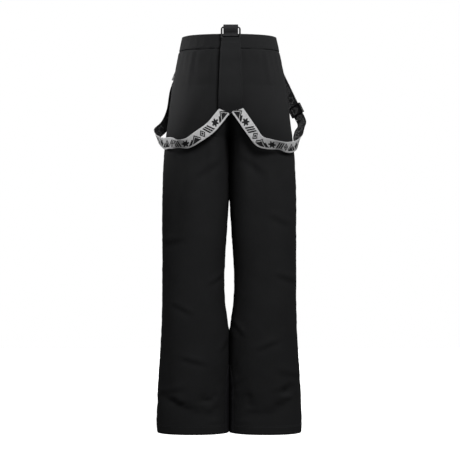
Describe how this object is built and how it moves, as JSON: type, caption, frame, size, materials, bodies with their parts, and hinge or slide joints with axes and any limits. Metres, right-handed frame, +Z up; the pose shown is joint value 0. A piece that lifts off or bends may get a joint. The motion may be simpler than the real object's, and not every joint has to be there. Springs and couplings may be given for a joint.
{
  "type": "ski pants with suspenders",
  "caption": "Insulated ski pants with a hanging back yoke and grey patterned webbing suspenders, boot-cut legs, snow gaiters and zipped pockets.",
  "frame": {"origin": "on the floor under the middle of the whole footprint, with the hems standing on Z = 0", "axes": "+Z up, +Y towards the wearer's front, +X towards the wearer's right"},
  "size_m": [0.4008, 0.2418, 1.054],
  "materials": {
    "shell_fabric": "matt black woven nylon shell over light insulation",
    "band_fabric": "matt black woven nylon, topstitched",
    "lining_fabric": "dark grey taffeta",
    "fleece": "black brushed fleece",
    "elastic": "ribbed elastic with gripper lines",
    "guard_fabric": "tough coated weave",
    "strap_webbing": "grey jacquard webbing with black pattern, black on the inner face",
    "tab_webbing": "black ribbed webbing",
    "zip_tape": "black zip tape",
    "black_plastic": "black moulded acetal",
    "dark_metal": "dark plated metal",
    "label": "blank grey satin"
  },
  "bodies": {
    "garment": {"back_panel_left": "shell_fabric", "back_panel_right": "shell_fabric", "back_tab": "tab_webbing", "belt_loop_left": "band_fabric", "belt_loop_right": "band_fabric", "care_label": "label", "fly_underlap": "lining_fabric", "fly_zip_left": "zip_tape", "fly_zip_right": "zip_tape", "front_panel_left": "shell_fabric", "front_panel_right": "shell_fabric", "front_ring_left": "black_plastic", "front_ring_right": "black_plastic", "front_tab_left": "tab_webbing", "front_tab_right": "tab_webbing", "gaiter_gripper_left": "elastic", "gaiter_gripper_right": "elastic", "gaiter_left": "lining_fabric", "gaiter_right": "lining_fabric", "hanger_loop_left": "tab_webbing", "hanger_loop_right": "tab_webbing", "hem_guard_left": "guard_fabric", "hem_guard_right": "guard_fabric", "lining_left": "lining_fabric", "lining_right": "lining_fabric", "pocket_bag_left": "lining_fabric", "pocket_bag_right": "lining_fabric", "pocket_zip_left": "zip_tape", "pocket_zip_right": "zip_tape", "snap_stud_lower": "dark_metal", "snap_stud_upper": "dark_metal", "strap_front_left": "strap_webbing", "strap_front_right": "strap_webbing", "waistband_back": "band_fabric", "waistband_facing": "fleece", "waistband_front_left": "band_fabric", "waistband_front_right": "band_fabric"},
    "suspender_yoke": {"yoke": "shell_fabric", "strap_rear_left": "strap_webbing", "strap_rear_right": "strap_webbing"},
    "back_ring": {"back_ring": "black_plastic"},
    "adjuster_left": {"adjuster_left": "black_plastic"},
    "adjuster_right": {"adjuster_right": "black_plastic"},
    "fly_flap": {"fly_flap": "shell_fabric"},
    "waist_tab": {"waist_tab": "band_fabric", "snap_cap_upper": "dark_metal", "snap_cap_lower": "dark_metal"},
    "fly_slider": {"fly_slider": "dark_metal", "fly_pull": "dark_metal"},
    "pocket_slider_left": {"pocket_slider_left": "dark_metal"},
    "pocket_slider_right": {"pocket_slider_right": "dark_metal"},
    "pocket_pull_left": {"pocket_pull_left": "black_plastic"},
    "pocket_pull_right": {"pocket_pull_right": "black_plastic"}
  },
  "joints": [
    {"name": "yoke_swing", "type": "hinge", "parent": "garment", "child": "suspender_yoke", "pos_m": [0.00138, -0.0889, 1.04679], "axis": [-1, 0, 0], "range_deg": [0, 20], "stiffness_Nm_per_rad": 0.3, "springref_deg": -11.46},
    {"name": "back_ring_swing", "type": "hinge", "parent": "garment", "child": "back_ring", "pos_m": [0.00138, -0.0889, 1.04679], "axis": [-1, 0, 0], "range_deg": [0, 20]},
    {"name": "adjuster_left_slide", "type": "slide", "parent": "garment", "child": "adjuster_left", "axis": [0.3736, 0.1095, 0.9211], "range_m": [-0.01, 0.04]},
    {"name": "adjuster_right_slide", "type": "slide", "parent": "garment", "child": "adjuster_right", "axis": [-0.4104, 0.1944, 0.891], "range_m": [-0.01, 0.125]},
    {"name": "fly_flap_open", "type": "hinge", "parent": "garment", "child": "fly_flap", "pos_m": [-0.02979, 0.11428, 0.9135], "axis": [0, -0.0737, 0.9973], "range_deg": [0, 90]},
    {"name": "waist_tab_open", "type": "hinge", "parent": "garment", "child": "waist_tab", "pos_m": [-0.02987, 0.10825, 0.99189], "axis": [0, -0.0768, 0.997], "range_deg": [0, 90]},
    {"name": "fly_zip_run", "type": "slide", "parent": "garment", "child": "fly_slider", "axis": [0, 0.0673, -0.9977], "range_m": [0, 0.08]},
    {"name": "pocket_zip_left_run", "type": "slide", "parent": "garment", "child": "pocket_slider_left", "axis": [-0.2139, 0.0933, -0.9724], "range_m": [0, 0.094]},
    {"name": "pocket_pull_left_swing", "type": "hinge", "parent": "pocket_slider_left", "child": "pocket_pull_left", "pos_m": [-0.09112, 0.10122, 0.94152], "axis": [0.8648, 0.4809, -0.1441], "range_deg": [0, 110]},
    {"name": "pocket_zip_right_run", "type": "slide", "parent": "garment", "child": "pocket_slider_right", "axis": [0.2139, 0.0933, -0.9724], "range_m": [0, 0.094]},
    {"name": "pocket_pull_right_swing", "type": "hinge", "parent": "pocket_slider_right", "child": "pocket_pull_right", "pos_m": [0.08587, 0.10122, 0.94152], "axis": [0.8648, -0.4809, 0.1441], "range_deg": [0, 110]}
  ],
  "couplings": [
    {"joint": "back_ring_swing", "follows": "yoke_swing", "ratio": 1}
  ]
}
